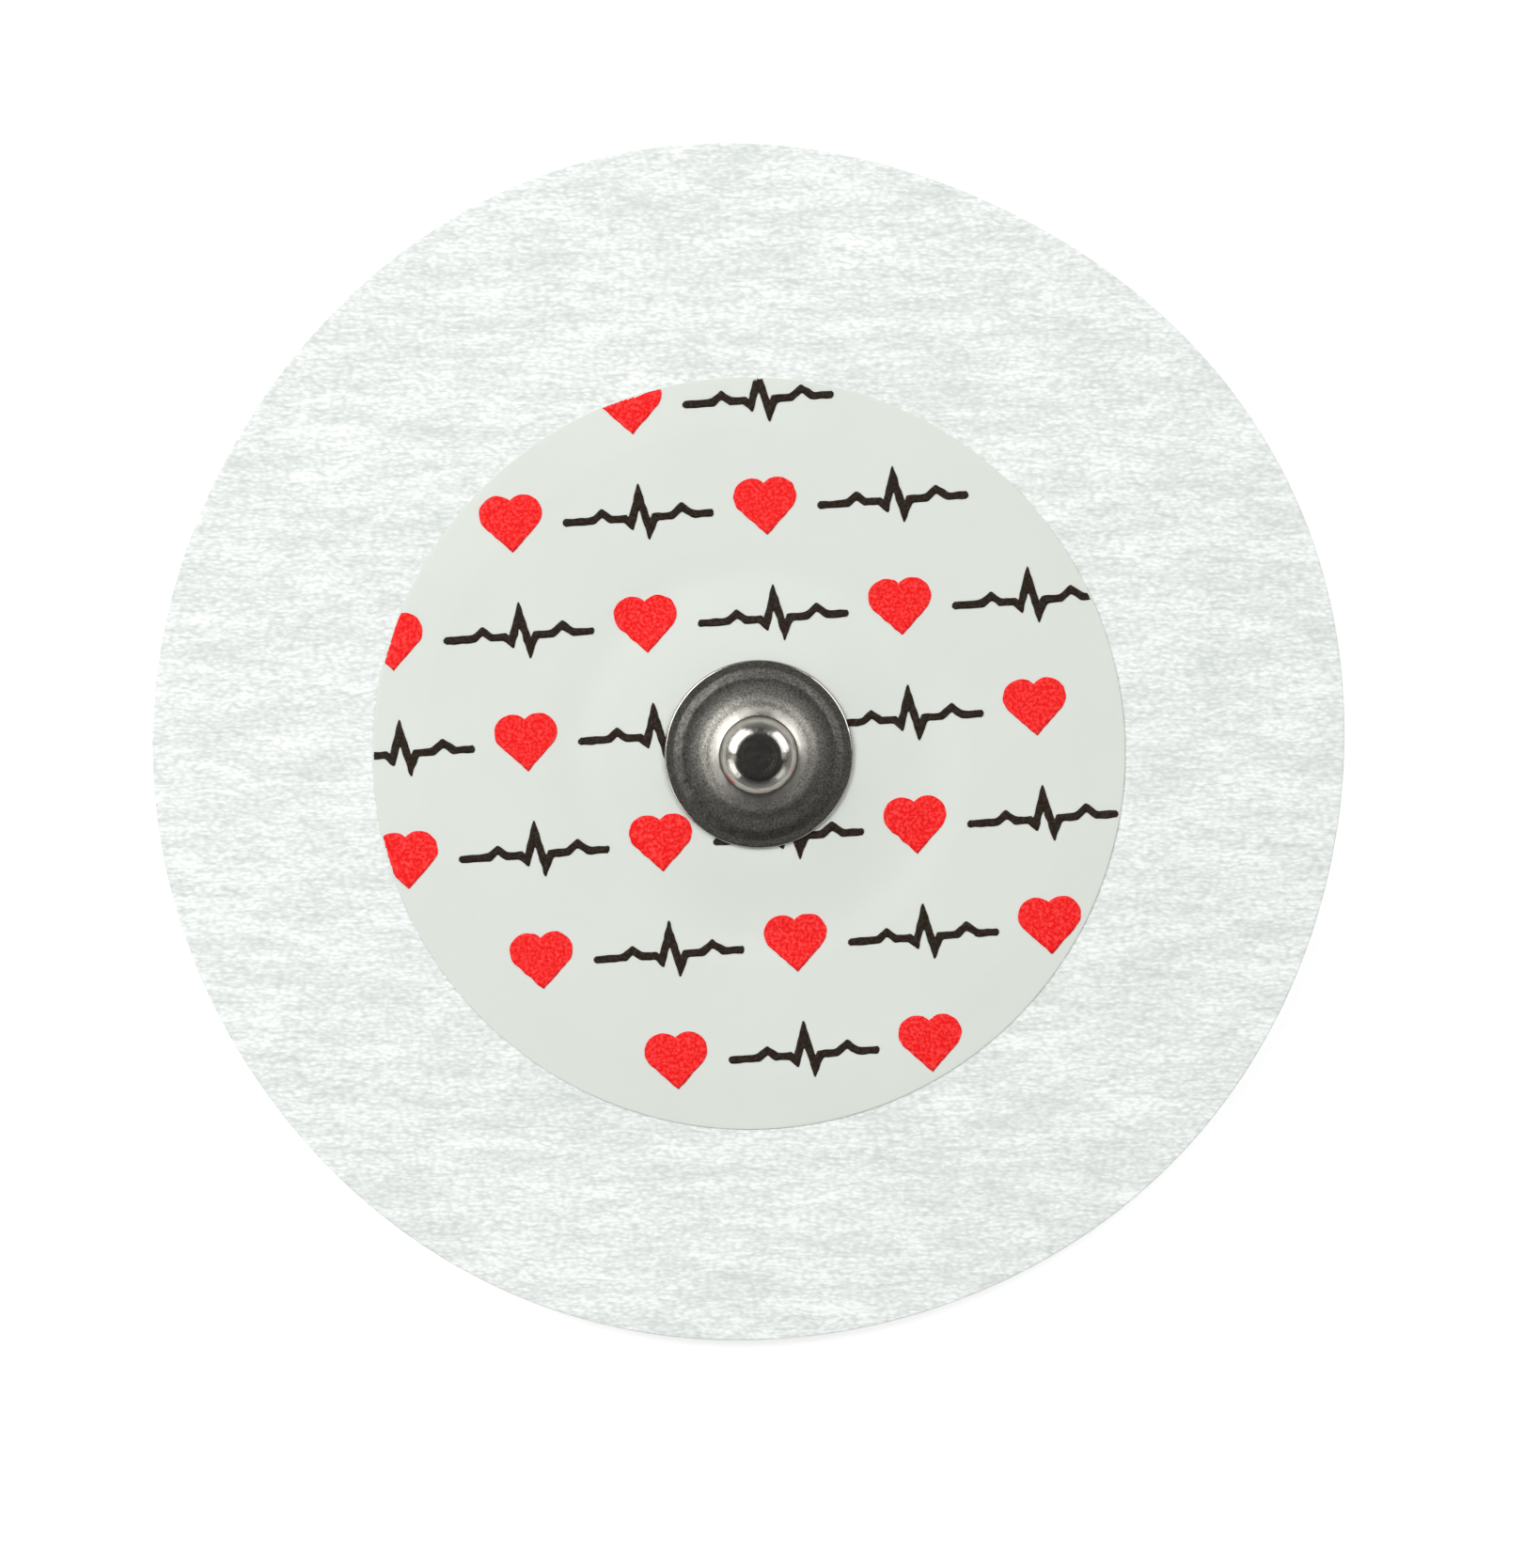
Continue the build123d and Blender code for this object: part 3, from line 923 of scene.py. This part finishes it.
class ELECTRODE_OT_print(bpy.types.Operator):
    """Makes the print: red hearts and black pulse traces"""

    bl_idname = "electrode.print"
    bl_label = "Print"

    def execute(self, context):
        ink, label = context.scene.electrode_print, context.scene.electrode_label
        # A heart lies between two lines. Above are two round lobes, whose middles are as far out
        # as they are high. Below, the lobes run on to the corners of a square, and its straight
        # sides meet in the point.
        lobe = ink.heart / MM / 2
        middle = lobe * np.sqrt(0.5)
        x = np.sin(np.linspace(-np.pi / 2, np.pi / 2, 41)) * (middle + lobe)
        arch = np.sqrt(np.maximum(lobe**2 - (np.abs(x) - middle) ** 2, 0))
        lower = np.where(np.abs(x) > 2 * middle, middle - arch, np.abs(x) - 2 * middle)
        rise = np.linspace(0, 1, 13)[:, None]
        heart = np.stack([x + 0 * rise, lower + (middle + arch - lower) * rise], -1)
        printed(
            "print_hearts_ink",
            motif_places(0)[:, None, None] + heart,
            new_material("Red ink", printing_ink, ink.red, label.film, 0.09),
            "print_hearts",
        )

        # A pulse trace lies between two lines, half a stroke to either side of its middle. A mean
        # over three neighbours, taken twice, rounds its corners, and its ends are drawn in to 0.4
        # of its width.
        line = np.array(PULSE_SHARES) * (ink.pulse_length / MM, ink.pulse_height / MM)
        corner = np.arange(len(line))
        mark = np.linspace(0, len(line) - 1, 12 * (len(line) - 1) + 1)
        right, left = (
            np.stack([np.interp(mark, corner, side[:, axis]) for axis in (0, 1)], -1)
            for side in (inset(line, ink.pulse_stroke / MM / 2), inset(line, -ink.pulse_stroke / MM / 2))
        )
        for side in (right, left, right, left):
            side[1:-1] = (side[:-2] + side[1:-1] + side[2:]) / 3
        width = np.ones((len(mark), 1))
        width[[0, -1]] = 0.4
        across = np.linspace(-0.5, 0.5, 5)[:, None, None]
        trace = (right + left) / 2 + (left - right) * width * across
        printed(
            "print_pulses_ink",
            motif_places(0.5)[:, None, None] + trace,
            new_material("Black ink", printing_ink, ink.black, label.film, 0.03),
            "print_pulses",
        )
        return {"FINISHED"}


class ELECTRODE_OT_snap_stud(bpy.types.Operator):
    """Makes the snap stud, one wall of drawn sheet steel"""

    bl_idname = "electrode.snap_stud"
    bl_label = "Snap Stud"

    def execute(self, context):
        stud = context.scene.electrode_stud
        wall, edge = stud.wall / MM, stud.edge_round / MM
        # From the middle of the head's top out to the rim: each side's run and fall, and the
        # rounding of the bend after it
        sides = (
            (stud.head / 2, 0, stud.shoulder),
            (0, stud.band + stud.shoulder, stud.bend),
            (-stud.undercut, stud.undercut_fall, stud.bend),
            (0, stud.neck, stud.bend),
            (stud.foot_run, stud.foot_fall, stud.brim_bend),
            (stud.cone_run, stud.cone_fall, stud.cone_foot_bend),
            (stud.ring_run, 0, stud.brim_bend),
            (stud.step_run, stud.step_fall, stud.brim_bend),
        )
        runs, falls, bends = np.array(sides).T / MM
        radius, height = runs.cumsum(), SEAT + wall + falls.sum() - falls.cumsum()
        corners = [(0, height[0]), *zip(radius, height), (BRIM_R, height[-1])]
        # Inside the wall, a bend that bulges out is tighter, down to 0.05 mm, and one that turns in
        # is wider
        inner = np.maximum(bends + wall * np.array([-1, -1, 1, 1, -1, 1, -1, 1]), 0.05)
        outline = np.concatenate([corners, inset(corners, wall)[::-1]])
        radii = np.concatenate([bends, [edge, edge], inner[::-1]])
        section = divided(filleted(outline, radii), step=0.12)
        steel = new_material("Drawn stainless steel", drawn_steel, stud)
        piece = lathe("snap_stud_steel", section, 192, steel)
        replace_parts(piece, "snap_stud")
        return {"FINISHED"}


class ELECTRODE_OT_eyelet(bpy.types.Operator):
    """Gives the eyelet its plating"""

    bl_idname = "electrode.eyelet"
    bl_label = "Eyelet"

    def execute(self, context):
        underside = context.scene.electrode_underside
        plating = new_material("Silver chloride plating", silver_chloride, underside)
        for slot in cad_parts["eyelet"].material_slots:
            slot.material = plating
        return {"FINISHED"}


class ELECTRODE_OT_gel_pad(bpy.types.Operator):
    """Makes the gel pad, which fills the space under the label"""

    bl_idname = "electrode.gel_pad"
    bl_label = "Gel Pad"

    def execute(self, context):
        underside = context.scene.electrode_underside
        out = np.linspace(FLANGE_R + 3 * TOUCH, GEL_R, 12)
        top = label_underside(STACK[0] + out, STACK[1] + 0 * out) - 2 * TOUCH
        outline = np.concatenate(
            [
                [(0, FLANGE_LOW - TOUCH), (FLANGE_R + 2 * TOUCH, FLANGE_LOW - TOUCH)],
                np.stack([out, top], 1),
                [(GEL_R, GEL_LOW + TOUCH), (0, GEL_LOW + TOUCH)],
            ]
        )
        radii = np.full(len(outline) - 2, TOUCH)
        radii[-2:] = underside.gel_rim / MM, underside.gel_edge / MM
        section = divided(filleted(outline, radii, steps=6), step=0.2)
        gel = new_material("Solid hydrogel", solid_gel, underside)
        piece = lathe("gel_pad_hydrogel", section, 160, gel)
        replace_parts(piece, "gel_pad")
        return {"FINISHED"}


class ELECTRODE_OT_release_liner(bpy.types.Operator):
    """Makes the release liner, a clear film with a dish for the gel pad"""

    bl_idname = "electrode.release_liner"
    bl_label = "Release Liner"

    def execute(self, context):
        underside = context.scene.electrode_underside
        film = underside.liner / MM
        dish = GEL_R + underside.dish_clearance / MM
        lip = dish + (LINER_TOP - film) * np.tan(underside.dish_draft)
        corners = [(0, film), (dish, film), (lip, LINER_TOP), (TAPE_R, LINER_TOP)]
        bends = np.array([underside.floor_round, underside.lip_round]) / MM
        above = filleted(corners, bends)
        below = filleted(inset(corners, film), bends + (film, -film))

        def heights(x, y):
            """The face and the underside follow the dish's outline."""
            radius = np.hypot(x - STACK[0], y - STACK[1])
            return np.interp(radius, *below.T), np.interp(radius, *above.T)

        steps = np.concatenate([np.linspace(0, 1, 40), np.linspace(dish - 0.5, lip + 0.5, 40) / TAPE_R])
        piece = formed_sheet(
            "release_liner_film",
            0,
            tape_edge(turns=320) - underside.liner_inset / MM,
            np.unique(steps),
            heights,
            film / 5,
            new_material("Clear PET film", clear_film, underside),
        )
        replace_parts(piece, "release_liner")
        return {"FINISHED"}


PARTS = {
    "electrode_stage": (ElectrodeStage, [ELECTRODE_OT_stage]),
    "electrode_tape": (ElectrodeTape, [ELECTRODE_OT_backing_tape]),
    "electrode_label": (ElectrodeLabel, [ELECTRODE_OT_label]),
    "electrode_print": (ElectrodePrint, [ELECTRODE_OT_print]),
    "electrode_stud": (ElectrodeStud, [ELECTRODE_OT_snap_stud]),
    "electrode_underside": (
        ElectrodeUnderside,
        [ELECTRODE_OT_eyelet, ELECTRODE_OT_gel_pad, ELECTRODE_OT_release_liner],
    ),
}


class ELECTRODE_PT_pieces(bpy.types.Panel):
    """Lists the electrode's pieces with their sizes and colours"""

    bl_idname = "ELECTRODE_PT_pieces"
    bl_label = "Electrode"
    bl_space_type = "VIEW_3D"
    bl_region_type = "UI"
    bl_category = "Electrode"

    def draw(self, context):
        for name, (group, operators) in PARTS.items():
            box = self.layout.box()
            for operator in operators:
                box.operator(operator.bl_idname)
            for key in group.__annotations__:
                box.prop(getattr(context.scene, name), key)


def register():
    for name, (group, operators) in PARTS.items():
        bpy.utils.register_class(group)
        setattr(bpy.types.Scene, name, bpy.props.PointerProperty(type=group))
        for operator in operators:
            bpy.utils.register_class(operator)
    bpy.utils.register_class(ELECTRODE_PT_pieces)


def unregister():
    bpy.utils.unregister_class(ELECTRODE_PT_pieces)
    for name, (group, operators) in PARTS.items():
        for operator in operators:
            bpy.utils.unregister_class(operator)
        delattr(bpy.types.Scene, name)
        bpy.utils.unregister_class(group)


def main():
    register()
    bpy.ops.electrode.stage()
    bpy.ops.electrode.backing_tape()
    bpy.ops.electrode.label()
    bpy.ops.electrode.print()
    bpy.ops.electrode.snap_stud()
    bpy.ops.electrode.eyelet()
    bpy.ops.electrode.gel_pad()
    bpy.ops.electrode.release_liner()


if __name__ == "__main__":
    main()
